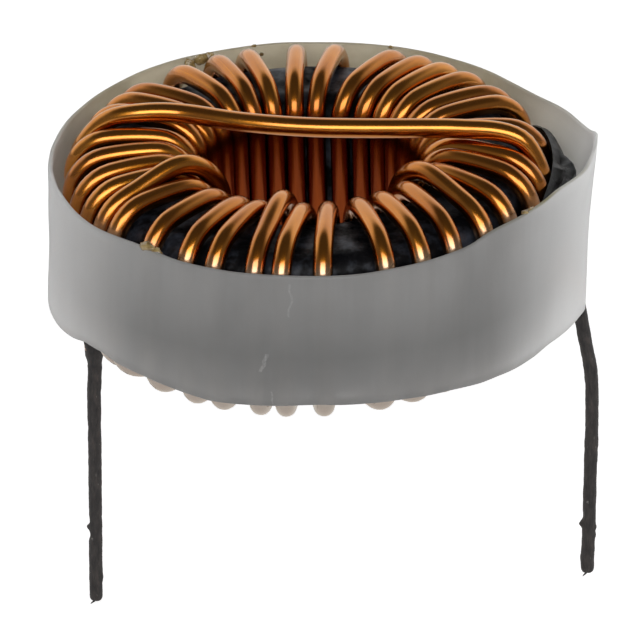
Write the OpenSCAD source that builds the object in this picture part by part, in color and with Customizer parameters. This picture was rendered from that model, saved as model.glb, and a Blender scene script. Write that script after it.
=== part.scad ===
// Toroidal inductor: a coated ring core wound with one enamelled copper wire, held in a sleeve.
// Origin: middle of the two leads, on the plane below which both run straight, where a circuit
// board takes them. +X points at the right-hand lead, +Z away from the board. Millimetres, degrees.

/* [Core] */
// Outer diameter of the coated core
core_od = 23.6; // [20:0.1:30]
// Bore of the coated core
core_id = 13.4; // [12:0.1:15]
// Height of the coated core
core_h = 8; // [6:0.1:12]
// Rounding of the core's edges
core_edge = 1.2; // [0.6:0.1:1.6]

/* [Winding] */
// Diameter of the wire over its enamel
wire_d = 1.05; // [0.8:0.01:1.15]
// Clearance between the wire and the core's coat
lay_gap = 0.05; // [0.02:0.01:0.1]
// Clearance between neighbouring turns in the bore
turn_gap = 0.02; // [0.02:0.01:0.1]
// How much of the bore's first layer the turns fill
bore_fill = 0.87; // [0.8:0.005:0.94]
// How far each turn arches over the core's flat faces
crown = 0.3; // [0.1:0.05:0.5]
// How far each turn stands off the core's outer wall
bulge = 0.06; // [0:0.01:0.1]
// Angle of the first turn at the rim
rim_start = 153.5; // [150:0.5:158]
// Arc that the turns cover at the rim
rim_sweep = 342.3; // [335:0.1:345]
// Angle of the first turn in the bore
bore_start = 154.3; // [150:0.1:160]
// Arc that the turns cover in the bore
bore_sweep = 348.3; // [345:0.1:350]

/* [Leads] */
// How far the right lead stands outside the turns' outer run
right_outset = 3.015; // [2.8:0.005:3.2]
// How far the left lead stands inside the turns' outer run
left_inset = 0.985; // [0.8:0.005:1.2]
// Diameter of a stripped and tinned lead
lead_d = 0.78; // [0.7:0.01:1]
// Reach of the left lead below the board's plane
left_reach = 10; // [3:0.1:20]
// Reach of the right lead below the board's plane
right_reach = 8.8; // [3:0.1:20]
// Height of the point that each lead is cut to
lead_point = 0.35; // [0.1:0.05:0.6]
// How far the right lead bows outward below the sleeve
bow = 1.25; // [0.9:0.05:1.5]
// Lean of the right lead where it leaves the sleeve
bow_angle = 17; // [14:1:20]

/* [Sleeve] */
// Wall of the sleeve
band_wall = 0.25; // [0.2:0.05:0.5]
// Clearance between the sleeve and the winding
band_gap = 0.41; // [0.3:0.01:0.5]
// How far the sleeve's round stands to the left of the core
band_shift = 0.1; // [0:0.01:0.2]
// Clearance between the sleeve and the right lead
lead_gap = 0.07; // [0.05:0.01:0.2]
// Top edge of the sleeve above the core's middle plane
band_top = 4.2; // [3.5:0.1:5]
// Bottom edge of the sleeve below the core's middle plane
band_low = 3.35; // [3.2:0.05:4.2]
// How much lower the bottom edge hangs at the fold
band_drop = 2.1; // [0:0.1:2.5]
// Outer radius of the sleeve's fold
fold_r = 0.5; // [0.5:0.05:0.8]
// Lean of the sleeve against the core's axis
band_lean = 3; // [0:0.5:3]

/* [Insulation] */
// Height of the insulating pad
pad_h = 3.5; // [2:0.1:4]
// Depth of the pad's top below the sleeve's top edge
pad_sink = 0.35; // [0.2:0.05:1]
// Clearance round the pad
pad_gap = 0.1; // [0.08:0.01:0.2]

/* [Varnish] */
// Diameter of the largest varnish dab
dab_d = 0.9; // [0.5:0.05:1.2]
// Height of the largest varnish dab
dab_h = 0.3; // [0.15:0.05:0.5]

/* [Stance] */
// Lean of the core, its right-hand side higher
ring_lean = 1.85; // [0:0.05:3]

/* [Hidden] */

// Wire centreline: radii in the bore and at the rim, corner bends, and where the bends begin
wire_r = wire_d / 2;
r_bore = core_id / 2 - wire_r - lay_gap;
r_rim = core_od / 2 + wire_r + lay_gap + bulge;
bend_slack = 0.06 * wire_d;
bend_r = core_edge + wire_r + bend_slack;
bend_z = core_h / 2 + wire_r + lay_gap - bend_r;
// A raised turn rides over its two neighbours, and comes down between these two radii
ride = 1.065 * wire_d;
ride_gap = 0.115 * wire_d;
lift_from = r_bore + 0.14 * (r_rim - r_bore);
lift_to = r_bore + 0.8 * (r_rim - r_bore);
// Rings of a turn's section, as bend angles from the bore side to the rim side
bend_steps = [180, 155, 130, 105, 75, 50, 25, 0];

// Seats of the turns in the bore: whole numbers lie on the core, halves ride between two seats
seat_step_min = 2 * asin((wire_d + turn_gap) / (2 * r_bore));
seats = floor(bore_fill * bore_sweep / seat_step_min) + 1;
raised_after = [17, 22, 26];
turn_seats = [for (s = [0:seats - 1]) each has(raised_after, s) && s < seats - 1 ? [s, s + 0.5] : [s]];
turns = len(turn_seats);
seat_step = bore_sweep / (seats - 1);
rim_step = rim_sweep / (turns - 1);
// The hand-laid unevenness of the winding, in parts of a step
bore_lay = [0, 0.14, 0.27, 0.4, 0.52, 0.63, 0.74, 0.83, 0.78, 0.77, 0.86, 0.98, 1.1, 1.23, 1.35, 1.45,
    1.57, 1.38, 0.79, 0.5, 0.55, 0.59, 0.69, 0.08, 0.2, 0.08, -0.02, -0.11, -0.11, -0.05, 0];
rim_lay = [0, 0.26, 0.62, 0.08, -0.05, 0.12, -0.22, -0.25, -0.86, -0.63, -0.35, -0.18, -0.27, 0.1, -0.5,
    -1.43, -1.17, -1.32, -1.23, -1.25, -1.1, -1, -1.48, -1.43, -1.05, -1.02, -0.73, -0.75, -0.95, -0.52,
    -0.2, 0.06, 0.07, 0];
// The crossing wire comes down between the last and first turns, and leaves after this turn
exit_turn = 14;
cross_z = core_h / 2 + 3 * wire_r + 2 * lay_gap + crown;

// The leads stand off the turns' outer run on either side, so the ring is beside their middle
lead_r = lead_d / 2;
lead_pitch = 2 * r_rim + right_outset - left_inset;
lead_x = lead_pitch / 2;
ring_shift = (right_outset + left_inset) / 2;
// The right lead's bow ends just above the board's plane, and the winding stands over it
bow_r = bow / (1 - cos(bow_angle));
bow_drop = bow_r * sin(bow_angle);
straight_above = 0.286 * wire_d;
// Places where the wire's enamel ends and a lead begins, and the plane of the lowest raised turn
right_top = bow_drop + straight_above;
joint_rise = 1.905 * wire_d;
joint_drop = 0.667 * wire_d;
stand_off = right_top - joint_rise;
left_top = stand_off - joint_drop;
ring_z = stand_off + core_h / 2 + 2 * wire_d + crown;
left_joint = [-lead_x, 0, left_top];
right_joint = [lead_x - bow, 0, right_top];

// Sleeve: a round with one folded corner that the right lead stands in
band_r = r_rim + wire_r + band_gap + band_wall;
band_pivot = core_h / 4;
exit_z = -band_low - band_drop;
joint_in_ring = off_ring(right_joint);
exit_x = joint_in_ring.x + (joint_in_ring.z - exit_z) * tan(bow_angle + ring_lean);
fold_half = 61.5;
fold_x = exit_x + (lead_r + lead_gap + band_wall) / sin(fold_half)
    + (band_pivot - exit_z) * tan(band_lean);
band_reach = fold_x - fold_r * (1 / sin(fold_half) - 1);
// The uneven lower edge from left to right: place in parts of the radius, sag in parts of the drop
low_edge = [[-1, 0.26], [-0.94, 0.07], [-0.86, -0.29], [-0.82, -0.31], [-0.77, -0.14], [-0.67, 0.07],
    [-0.4, 0.05], [0, -0.07], [0.31, 0.1], [0.5, 0.22], [0.7, 0.45], [0.89, 0.74], [1.1, 1]];
far = 2 * band_reach;
round_steps = 96;

function has(list, x) = len([for (v = list) if (v == x) 1]) > 0;
function unit(v) = v / norm(v);
function ease(t) = let (c = min(1, max(0, t))) c * c * (3 - 2 * c);
function lay(list, i) = list[i % len(list)];

// Angles of a turn at the rim and of a seat in the bore
function rim_angle(k) = rim_start - rim_step * (k - lay(rim_lay, k));
function seat_angle(s) = s == floor(s)
    ? bore_start - seat_step * (s - lay(bore_lay, s))
    : (seat_angle(s - 0.5) + seat_angle(s + 0.5)) / 2;
function is_raised(k) = turn_seats[k] != floor(turn_seats[k]);

// How high a turn rides in the bore: the wider apart its two neighbours are, the lower it lies
function lift(k) = is_raised(k) ? let (
        half = r_bore * sin((seat_angle(turn_seats[k] - 0.5) - seat_angle(turn_seats[k] + 0.5)) / 2)
    ) sqrt(max(0, ride ^ 2 - half ^ 2)) + ride_gap : 0;

// A point of a turn from its bend angle: side is 1 over the top and -1 under the core. In plan the
// wire runs straight from its place in the bore to its place at the rim.
function turn_point(bend, from, to, lift, side) = let (
        middle = bend > 90 ? r_bore + bend_r : r_rim - bend_r,
        r = middle + bend_r * cos(bend),
        across = (r - r_bore) / (r_rim - r_bore),
        z = bend_z + bend_r * sin(bend) + crown * sin(180 * across),
        up = lift * (1 - ease((r - lift_from) / (lift_to - lift_from))),
        tilt = max(90, bend),
        plan = (1 - across) * ring_point(r_bore, from, 0) + across * ring_point(r_rim, to, 0)
    ) (norm(plan) + up * cos(tilt)) * unit(plan) + [0, 0, side * (z + up * sin(tilt))];
function ring_point(r, angle, z) = [r * cos(angle), r * sin(angle), z];
function over(k) = [for (b = bend_steps) turn_point(b, seat_angle(turn_seats[k]), rim_angle(k), lift(k), 1)];
function under(rim, k) = [for (i = [len(bend_steps) - 1:-1:0])
    turn_point(bend_steps[i], seat_angle(turn_seats[k]), rim, lift(k), -1)];

// The ring's own frame, leaned and set beside the middle of the leads
function on_ring(p) = [
    p.x * cos(ring_lean) - p.z * sin(ring_lean) - ring_shift,
    p.y,
    p.x * sin(ring_lean) + p.z * cos(ring_lean) + ring_z
];

function off_ring(p) = let (x = p.x + ring_shift, z = p.z - ring_z)
    [x * cos(ring_lean) + z * sin(ring_lean), p.y, z * cos(ring_lean) - x * sin(ring_lean)];

// A smooth curve through hand-placed points, with the given number of steps between two of them
function curve(p, steps) = [
    for (i = [1:len(p) - 3], j = [0:steps - 1]) curve_point(p[i - 1], p[i], p[i + 1], p[i + 2], j / steps),
    p[len(p) - 2]
];
function curve_point(a, b, c, d, t) =
    (2 * b + (c - a) * t + (2 * a - 5 * b + 4 * c - d) * t ^ 2 + (3 * b - a - 3 * c + d) * t ^ 3) / 2;

// The crossing wire: up from the right lead, over the rim, across the hole and down at the left
exit_angle = 0.28 * rim_angle(exit_turn) + 0.72 * rim_angle(exit_turn + 1);
entry_angle = 0.65 * (rim_angle(turns - 1) + 360) + 0.35 * rim_angle(0);
cross_right = [
    on_ring([r_rim + 1.1 * wire_d, -0.15 * wire_d, -1.3 * bend_z]),
    on_ring([r_rim + 0.7 * wire_d, -0.65 * wire_d, -0.85 * bend_z]),
    on_ring([r_rim + 0.2 * wire_d, -1.45 * wire_d, -0.3 * bend_z]),
    on_ring(ring_point(r_rim, exit_angle + 0.5, 0.3 * bend_z)),
    on_ring(ring_point(r_rim, exit_angle, bend_z))
];
cross_top = [
    on_ring(ring_point(r_rim - 0.16 * bend_r, exit_angle + 0.5, bend_z + 0.67 * bend_r)),
    on_ring(ring_point(r_rim - 0.5 * bend_r, exit_angle + 0.9, cross_z - 0.7 * wire_d)),
    on_ring(ring_point(r_rim - 0.82 * bend_r, exit_angle + 1.1, cross_z - 0.3 * wire_d)),
    on_ring(ring_point(r_rim - 1.18 * bend_r, exit_angle + 1.2, cross_z - 0.1 * wire_d)),
    on_ring(ring_point(r_rim - 1.65 * bend_r, exit_angle + 1.3, cross_z)),
    on_ring(ring_point(r_rim - 2.2 * bend_r, exit_angle + 1.4, cross_z)),
    on_ring(ring_point(r_rim - 3 * bend_r, exit_angle + 1.6, cross_z)),
    on_ring([0.45 * r_bore, -0.116 * r_bore, cross_z]),
    on_ring([-0.057 * r_bore, -0.03 * r_bore, cross_z]),
    on_ring([-0.556 * r_bore, 0.121 * r_bore, cross_z]),
    on_ring(ring_point(r_rim - 3.2 * bend_r, entry_angle - 3, cross_z)),
    on_ring(ring_point(r_rim - 2.1 * bend_r, entry_angle - 0.8, cross_z)),
    on_ring(ring_point(r_rim - bend_r, entry_angle, cross_z - 0.9 * wire_r)),
    on_ring(ring_point(r_rim - 0.25 * bend_r, entry_angle, bend_z + 0.7 * bend_r)),
    on_ring(ring_point(r_rim, entry_angle, bend_z))
];
right_up = [-sin(bow_angle), 0, cos(bow_angle)];
crossing = concat([right_joint], curve(concat(
    [right_joint, right_joint + 0.25 * right_up],
    cross_right, cross_top,
    [on_ring(ring_point(r_rim, entry_angle, 0)), on_ring(ring_point(r_rim, entry_angle, -bend_z))]
), 3));
last_rim = rim_angle(turns - 1);
ending = concat(curve([
    on_ring(ring_point(r_rim, last_rim, bend_z)),
    on_ring(ring_point(r_rim, last_rim, 0)),
    on_ring(ring_point(r_rim, last_rim, -bend_z)),
    on_ring(ring_point(r_rim - 0.5 * wire_r, last_rim + 1.5, -bend_z - 0.8 * bend_r)),
    left_joint + wire_d * [-0.43, 0.9, 1.43],
    left_joint + wire_d * [-0.1, 0.19, 0.67],
    left_joint + wire_d * [0, 0, 0.24],
    left_joint
], 3), [left_joint]);
coil = [for (k = [0:turns - 1]) each concat(
    [for (p = under(k == 0 ? entry_angle : rim_angle(k - 1), k)) on_ring(p)],
    [for (p = over(k)) on_ring(p)]
)];
route = concat(crossing, coil, ending);

// A tube of the given diameter along a route, its rings carried from one point to the next
module tube(route, d, sides) {
    n = len(route);
    ahead = [for (i = [0:n - 1]) unit(route[min(i + 1, n - 1)] - route[max(i - 1, 0)])];
    side = [for (i = 0, u = unit(cross(ahead[0], [0, 1, 0])); i < n;
        i = i + 1, u = i < n ? unit(u - ahead[i] * (u * ahead[i])) : u) u];
    points = [for (i = [0:n - 1], j = [0:sides - 1]) let (a = 360 * j / sides)
        route[i] + d / 2 * (cos(a) * side[i] + sin(a) * cross(ahead[i], side[i]))];
    walls = [for (i = [0:n - 2], j = [0:sides - 1]) let (
            a = i * sides + j,
            b = i * sides + (j + 1) % sides
        ) each [[a, a + sides, b], [b, a + sides, b + sides]]];
    first_cap = [for (j = [0:sides - 1]) j];
    last_cap = [for (j = [sides - 1:-1:0]) (n - 1) * sides + j];
    polyhedron(points, concat(walls, [first_cap, last_cap]), convexity = 20);
}

module ring_frame() {
    translate([-ring_shift, 0, ring_z])
        rotate([0, -ring_lean, 0])
            children();
}

module rounded_rectangle(w, h, r) {
    square([w - 2 * r, h], center = true);
    square([w, h - 2 * r], center = true);
    for (x = [-1, 1], y = [-1, 1])
        translate([x * (w / 2 - r), y * (h / 2 - r)])
            circle(r, $fn = 32);
}

module core() {
    wall = (core_od - core_id) / 2;
    color([0.16, 0.17, 0.2])
        ring_frame()
            rotate_extrude($fn = 96)
                translate([core_id / 2 + wall / 2, 0])
                    rounded_rectangle(wall, core_h, core_edge);
}

module winding() {
    color([0.72, 0.42, 0.2])
        tube(route, wire_d, 8);
}

module left_lead() {
    color([0.35, 0.35, 0.36])
        translate([-lead_x, 0, -left_reach])
            lead_rod(left_reach + left_top);
}

module right_lead() {
    straight = right_reach + right_top - bow_drop;
    color([0.35, 0.35, 0.36]) {
        translate([lead_x, 0, -right_reach])
            lead_rod(straight);
        translate([lead_x - bow_r, 0, right_top - bow_drop])
            rotate([90, 0, 0])
                rotate_extrude(angle = bow_angle, $fn = 96)
                    translate([bow_r, 0])
                        circle(lead_r, $fn = 32);
    }
}

// A straight lead that stands on its cut point
module lead_rod(length) {
    cylinder(h = lead_point, r1 = lead_r / 3, r2 = lead_r, $fn = 32);
    translate([0, 0, lead_point])
        cylinder(h = length - lead_point, r = lead_r, $fn = 32);
}

// Plan of the sleeve, drawn in by inset: a round and a small fold joined by their tangents
module sleeve_plan(inset) {
    big = band_r - inset;
    small = fold_r - inset;
    apart = band_reach - fold_r + band_shift;
    lean = acos((big - small) / apart);
    translate([-band_shift, 0])
        polygon(concat(
            [for (a = [-lean:lean / 3:lean]) [apart + small * cos(a), small * sin(a)]],
            [for (i = [0:round_steps]) let (a = lean + i * (360 - 2 * lean) / round_steps)
                big * [cos(a), sin(a)]]
        ));
}

// Upright prism over a plan, leaned as the sleeve is
module leaned(height) {
    translate([0, 0, band_pivot])
        rotate([0, band_lean, 0])
            linear_extrude(height, center = true)
                children();
}

module sleeve() {
    color([0.82, 0.82, 0.81])
        ring_frame()
            intersection() {
                leaned(far)
                    difference() {
                        sleeve_plan(0);
                        sleeve_plan(band_wall);
                    }
                rotate([90, 0, 0])
                    linear_extrude(far, center = true)
                        polygon(concat(
                            [[far, exit_z], [far, band_top], [-far, band_top]],
                            [[-far, -band_low - band_drop * low_edge[0][1]]],
                            [for (p = low_edge) [band_r * p[0], -band_low - band_drop * p[1]]]
                        ));
            }
}

// A black wedge of folded tape between the winding and the sleeve's front wall
module insulating_pad() {
    winding_r = r_rim + wire_r;
    top = band_top - pad_sink;
    // Corners in plan: how far each is outside the winding, and its angle
    corners = [[-0.75 * wire_d, 15.2], [0.2 * wire_d, 8.3], [1.5 * wire_d, -13.5], [0.6 * wire_d, -26.3],
        [-0.9 * wire_d, -24.5]];
    color([0.08, 0.08, 0.09])
        ring_frame()
            difference() {
                intersection() {
                    leaned(far)
                        sleeve_plan(band_wall + pad_gap);
                    translate([0, 0, top - pad_h])
                        linear_extrude(pad_h)
                            polygon([for (p = corners) (winding_r + p[0]) * [cos(p[1]), sin(p[1])]]);
                }
                cylinder(h = far, r = winding_r + pad_gap, center = true, $fn = 128);
            }
}

// Low drops of varnish that dried on the sleeve's top edge
module varnish_dabs() {
    edge_r = band_r - band_wall / 2;
    color([0.62, 0.5, 0.28])
        ring_frame()
            for (dab = [[-134, 1], [114, 0.8], [121, 0.7]])
                translate([edge_r * cos(dab[0]) + (band_top - band_pivot) * tan(band_lean),
                        edge_r * sin(dab[0]), band_top])
                    drop(dab_d * dab[1], dab_h * dab[1]);
}

module drop(d, h) {
    rotate_extrude($fn = 24)
        polygon([for (a = [0:18:90]) [d / 2 * cos(a), h * sin(a)], [0, 0]]);
}

core();
winding();
left_lead();
right_lead();
sleeve();
insulating_pad();
varnish_dabs();
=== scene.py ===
import math

import bpy
import numpy as np
from mathutils import Matrix, Vector, noise


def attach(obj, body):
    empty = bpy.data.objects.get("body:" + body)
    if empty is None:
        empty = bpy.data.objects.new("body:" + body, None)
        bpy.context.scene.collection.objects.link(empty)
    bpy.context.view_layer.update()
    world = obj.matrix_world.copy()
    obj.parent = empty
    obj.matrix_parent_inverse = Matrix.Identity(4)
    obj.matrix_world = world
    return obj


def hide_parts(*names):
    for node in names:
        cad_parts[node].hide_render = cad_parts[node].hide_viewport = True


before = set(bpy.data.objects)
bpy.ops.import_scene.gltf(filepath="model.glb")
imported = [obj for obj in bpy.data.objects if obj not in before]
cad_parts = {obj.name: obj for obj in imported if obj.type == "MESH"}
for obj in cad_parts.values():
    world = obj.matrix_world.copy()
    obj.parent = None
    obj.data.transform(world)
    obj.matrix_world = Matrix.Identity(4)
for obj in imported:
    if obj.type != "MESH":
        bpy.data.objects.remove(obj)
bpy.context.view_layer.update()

# Sizes of the construction, in millimetres and degrees
MM = 0.001
CORE_OD = 23.6
CORE_ID = 13.4
CORE_H = 8.0
CORE_EDGE = 1.2
WIRE_D = 1.05
LAY_GAP = 0.05
TURN_GAP = 0.02
BORE_FILL = 0.87
CROWN = 0.3
BULGE = 0.06
RIM_START = 153.5
RIM_SWEEP = 342.3
BORE_START = 154.3
BORE_SWEEP = 348.3
RIGHT_OUTSET = 3.015
LEFT_INSET = 0.985
LEAD_D = 0.78
LEFT_REACH = 10.0
RIGHT_REACH = 8.8
BOW = 1.25
BOW_ANGLE = 17.0
BAND_WALL = 0.25
BAND_GAP = 0.41
BAND_SHIFT = 0.1
LEAD_GAP = 0.07
BAND_TOP = 4.2
BAND_LOW = 3.35
BAND_DROP = 2.1
BAND_LEAN = 3.0
FOLD_R = 0.5
FOLD_HALF = 61.5
PAD_TOP = BAND_TOP - 0.35
PAD_H = 3.5
RING_LEAN = 1.85

# The winding's run over the core, and the height of a turn that rides on its neighbours
WIRE_R = WIRE_D / 2
R_BORE = CORE_ID / 2 - WIRE_R - LAY_GAP
R_RIM = CORE_OD / 2 + WIRE_R + LAY_GAP + BULGE
WINDING_R = R_RIM + WIRE_R
BEND_R = CORE_EDGE + WIRE_R + 0.06 * WIRE_D
BEND_Z = CORE_H / 2 + WIRE_R + LAY_GAP - BEND_R
RIDE = 1.065 * WIRE_D
RIDE_GAP = 0.115 * WIRE_D
LIFT_FROM = R_BORE + 0.14 * (R_RIM - R_BORE)
LIFT_TO = R_BORE + 0.8 * (R_RIM - R_BORE)
RAISED_AFTER = (17, 22, 26)
EXIT_TURN = 14
# The crossing wire runs a little lower than in the construction, whose eight-sided wire is flatter on top
CROSS_DIP = 0.035
CROSS_Z = CORE_H / 2 + 3 * WIRE_R + 2 * LAY_GAP + CROWN - CROSS_DIP
# The hand-laid unevenness of the winding, in parts of a step
BORE_LAY = [0, 0.14, 0.27, 0.4, 0.52, 0.63, 0.74, 0.83, 0.78, 0.77, 0.86, 0.98, 1.1, 1.23, 1.35, 1.45,
            1.57, 1.38, 0.79, 0.5, 0.55, 0.59, 0.69, 0.08, 0.2, 0.08, -0.02, -0.11, -0.11, -0.05, 0]
RIM_LAY = [0, 0.26, 0.62, 0.08, -0.05, 0.12, -0.22, -0.25, -0.86, -0.63, -0.35, -0.18, -0.27, 0.1, -0.5,
           -1.43, -1.17, -1.32, -1.23, -1.25, -1.1, -1, -1.48, -1.43, -1.05, -1.02, -0.73, -0.75, -0.95,
           -0.52, -0.2, 0.06, 0.07, 0]

# How finely the wire is drawn
BEND_POINTS, FLAT_POINTS, CURVE_STEPS = 12, 9, 8
FINE_STEP, WIRE_STEP, SMOOTH_ROUNDS, WIRE_SIDES = 0.16, 0.36, 3, 20


def sin(angle):
    return math.sin(math.radians(angle))


def cos(angle):
    return math.cos(math.radians(angle))


def tan(angle):
    return math.tan(math.radians(angle))


def ease(t):
    """From 0 to 1 with a soft start and a soft end."""
    c = min(1.0, max(0.0, t))
    return c * c * (3 - 2 * c)


def fade(values, start, stop):
    """0 up to the start and 1 from the stop on, in a straight line between them."""
    return np.clip((values - start) / (stop - start), 0, 1)


def bell(angle, at, width):
    """1 at an angle, falling off to both sides."""
    apart = (angle - at + 180) % 360 - 180
    return math.exp(-(apart / width) ** 2)


SEAT_MIN = 2 * math.degrees(math.asin((WIRE_D + TURN_GAP) / (2 * R_BORE)))
SEATS = math.floor(BORE_FILL * BORE_SWEEP / SEAT_MIN) + 1
TURN_SEATS = [seat + half for seat in range(SEATS) for half in ((0, 0.5) if seat in RAISED_AFTER else (0,))]
TURNS = len(TURN_SEATS)
SEAT_STEP = BORE_SWEEP / (SEATS - 1)
RIM_STEP = RIM_SWEEP / (TURNS - 1)

# Places of the leads and of the ring over the board
LEAD_R = LEAD_D / 2
LEAD_X = (2 * R_RIM + RIGHT_OUTSET - LEFT_INSET) / 2
RING_SHIFT = (RIGHT_OUTSET + LEFT_INSET) / 2
BOW_R = BOW / (1 - cos(BOW_ANGLE))
BOW_DROP = BOW_R * sin(BOW_ANGLE)
RIGHT_TOP = BOW_DROP + 0.286 * WIRE_D
STAND_OFF = RIGHT_TOP - 1.905 * WIRE_D
LEFT_TOP = STAND_OFF - 0.667 * WIRE_D
RING_Z = STAND_OFF + CORE_H / 2 + 2 * WIRE_D + CROWN
LEFT_JOINT = np.array([-LEAD_X, 0, LEFT_TOP])
RIGHT_JOINT = np.array([LEAD_X - BOW, 0, RIGHT_TOP])


# Route of the wire
def rim_angle(k):
    """Angle of a turn at the rim."""
    return RIM_START - RIM_STEP * (k - RIM_LAY[k % len(RIM_LAY)])


def seat_angle(seat):
    """Angle of a seat in the bore. A half seat lies midway between its two neighbours."""
    if seat == math.floor(seat):
        return BORE_START - SEAT_STEP * (seat - BORE_LAY[int(seat) % len(BORE_LAY)])
    return (seat_angle(seat - 0.5) + seat_angle(seat + 0.5)) / 2


def ring_point(r, angle, z):
    return np.array([r * cos(angle), r * sin(angle), z])


def on_ring(p):
    """A point of the ring's own frame in the part's frame."""
    c, s = cos(RING_LEAN), sin(RING_LEAN)
    return np.array([p[0] * c - p[2] * s - RING_SHIFT, p[1], p[0] * s + p[2] * c + RING_Z])


def off_ring(p):
    """A point of the part's frame in the ring's own frame."""
    c, s = cos(RING_LEAN), sin(RING_LEAN)
    x, z = p[0] + RING_SHIFT, p[2] - RING_Z
    return np.array([x * c + z * s, p[1], z * c - x * s])


def lift(k):
    """How high a turn rides in the bore over its two neighbours, 0 for a turn that lies on the core."""
    seat = TURN_SEATS[k]
    if seat == math.floor(seat):
        return 0.0
    half = R_BORE * sin((seat_angle(seat - 0.5) - seat_angle(seat + 0.5)) / 2)
    return math.sqrt(max(0.0, RIDE ** 2 - half ** 2)) + RIDE_GAP


def turn_point(bend, r, start, end, up, side):
    """A point of a turn in the ring's frame: r runs from the bore to the rim, bend from 180 to 0."""
    across = (r - R_BORE) / (R_RIM - R_BORE)
    z = BEND_Z + BEND_R * sin(bend) + CROWN * sin(180 * across)
    up = up * (1 - ease((r - LIFT_FROM) / (LIFT_TO - LIFT_FROM)))
    tilt = max(90, bend)
    plan = (1 - across) * ring_point(R_BORE, start, 0) + across * ring_point(R_RIM, end, 0)
    far = np.linalg.norm(plan)
    return (far + up * cos(tilt)) / far * plan + (0, 0, side * (z + up * sin(tilt)))


def arch(k, rim, side):
    """Half a turn k over (1) or under (-1) the core, from the bore to the given rim angle."""
    from_bore, to_rim = R_BORE + BEND_R, R_RIM - BEND_R
    stations = [(bend, from_bore + BEND_R * cos(bend)) for bend in np.linspace(180, 90, BEND_POINTS)]
    stations += [(90, r) for r in np.linspace(from_bore, to_rim, FLAT_POINTS)[1:-1]]
    stations += [(bend, to_rim + BEND_R * cos(bend)) for bend in np.linspace(90, 0, BEND_POINTS)]
    return [turn_point(bend, r, seat_angle(TURN_SEATS[k]), rim, lift(k), side) for bend, r in stations]


def curve(p):
    """A Catmull-Rom curve through points, without the first and the last."""
    out = []
    for a, b, c, d in zip(p, p[1:], p[2:], p[3:]):
        for t in np.arange(CURVE_STEPS) / CURVE_STEPS:
            out.append((2 * b + (c - a) * t + (2 * a - 5 * b + 4 * c - d) * t ** 2
                        + (3 * b - a - 3 * c + d) * t ** 3) / 2)
    out.append(p[-2])
    return out


def entry_angle():
    """Where the crossing wire comes down at the rim, between the last and the first turn."""
    return 0.65 * (rim_angle(TURNS - 1) + 360) + 0.35 * rim_angle(0)


def crossing_route():
    """From the right lead up the rim, across the hole on top of the turns and down to the first turn."""
    leave = 0.28 * rim_angle(EXIT_TURN) + 0.72 * rim_angle(EXIT_TURN + 1)
    entry = entry_angle()
    up = np.array([-sin(BOW_ANGLE), 0, cos(BOW_ANGLE)])
    points = [
        (R_RIM + 1.1 * WIRE_D, -0.15 * WIRE_D, -1.3 * BEND_Z),
        (R_RIM + 0.7 * WIRE_D, -0.65 * WIRE_D, -0.85 * BEND_Z),
        (R_RIM + 0.2 * WIRE_D, -1.45 * WIRE_D, -0.3 * BEND_Z),
        ring_point(R_RIM, leave + 0.5, 0.3 * BEND_Z),
        ring_point(R_RIM, leave, BEND_Z),
        ring_point(R_RIM - 0.16 * BEND_R, leave + 0.5, BEND_Z + 0.67 * BEND_R),
        ring_point(R_RIM - 0.5 * BEND_R, leave + 0.9, CROSS_Z - 0.7 * WIRE_D),
        ring_point(R_RIM - 0.82 * BEND_R, leave + 1.1, CROSS_Z - 0.3 * WIRE_D),
        ring_point(R_RIM - 1.18 * BEND_R, leave + 1.2, CROSS_Z - 0.1 * WIRE_D),
        ring_point(R_RIM - 1.65 * BEND_R, leave + 1.3, CROSS_Z),
        ring_point(R_RIM - 2.2 * BEND_R, leave + 1.4, CROSS_Z),
        ring_point(R_RIM - 3 * BEND_R, leave + 1.6, CROSS_Z),
        (0.45 * R_BORE, -0.116 * R_BORE, CROSS_Z),
        (-0.057 * R_BORE, -0.03 * R_BORE, CROSS_Z),
        (-0.556 * R_BORE, 0.121 * R_BORE, CROSS_Z),
        ring_point(R_RIM - 3.2 * BEND_R, entry - 3, CROSS_Z),
        ring_point(R_RIM - 2.1 * BEND_R, entry - 0.8, CROSS_Z),
        ring_point(R_RIM - BEND_R, entry, CROSS_Z - 0.9 * WIRE_R),
        ring_point(R_RIM - 0.25 * BEND_R, entry, BEND_Z + 0.7 * BEND_R),
        ring_point(R_RIM, entry, BEND_Z),
        ring_point(R_RIM, entry, 0),
        ring_point(R_RIM, entry, -BEND_Z),
    ]
    return [RIGHT_JOINT] + curve([RIGHT_JOINT, RIGHT_JOINT + 0.25 * up] + [on_ring(p) for p in points])


def ending_route():
    """From the last turn down to the left lead."""
    last = rim_angle(TURNS - 1)
    ring_end = [ring_point(R_RIM, last, BEND_Z), ring_point(R_RIM, last, 0), ring_point(R_RIM, last, -BEND_Z),
                ring_point(R_RIM - 0.5 * WIRE_R, last + 1.5, -BEND_Z - 0.8 * BEND_R)]
    above_joint = [(-0.43, 0.9, 1.43), (-0.1, 0.19, 0.67), (0, 0, 0.24), (0, 0, 0)]
    points = [on_ring(p) for p in ring_end] + [LEFT_JOINT + WIRE_D * np.array(p) for p in above_joint]
    return curve(points) + [LEFT_JOINT]


def wire_route():
    coil = []
    for k in range(TURNS):
        rim = entry_angle() if k == 0 else rim_angle(k - 1)
        coil += [on_ring(p) for p in reversed(arch(k, rim, -1))]
        coil += [on_ring(p) for p in arch(k, rim_angle(k), 1)]
    return np.array(crossing_route() + coil + ending_route())


# Building meshes
def distances(p):
    """How far along a route each of its points lies."""
    return np.r_[0, np.cumsum(np.linalg.norm(np.diff(p, axis=0), axis=1))]


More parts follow.
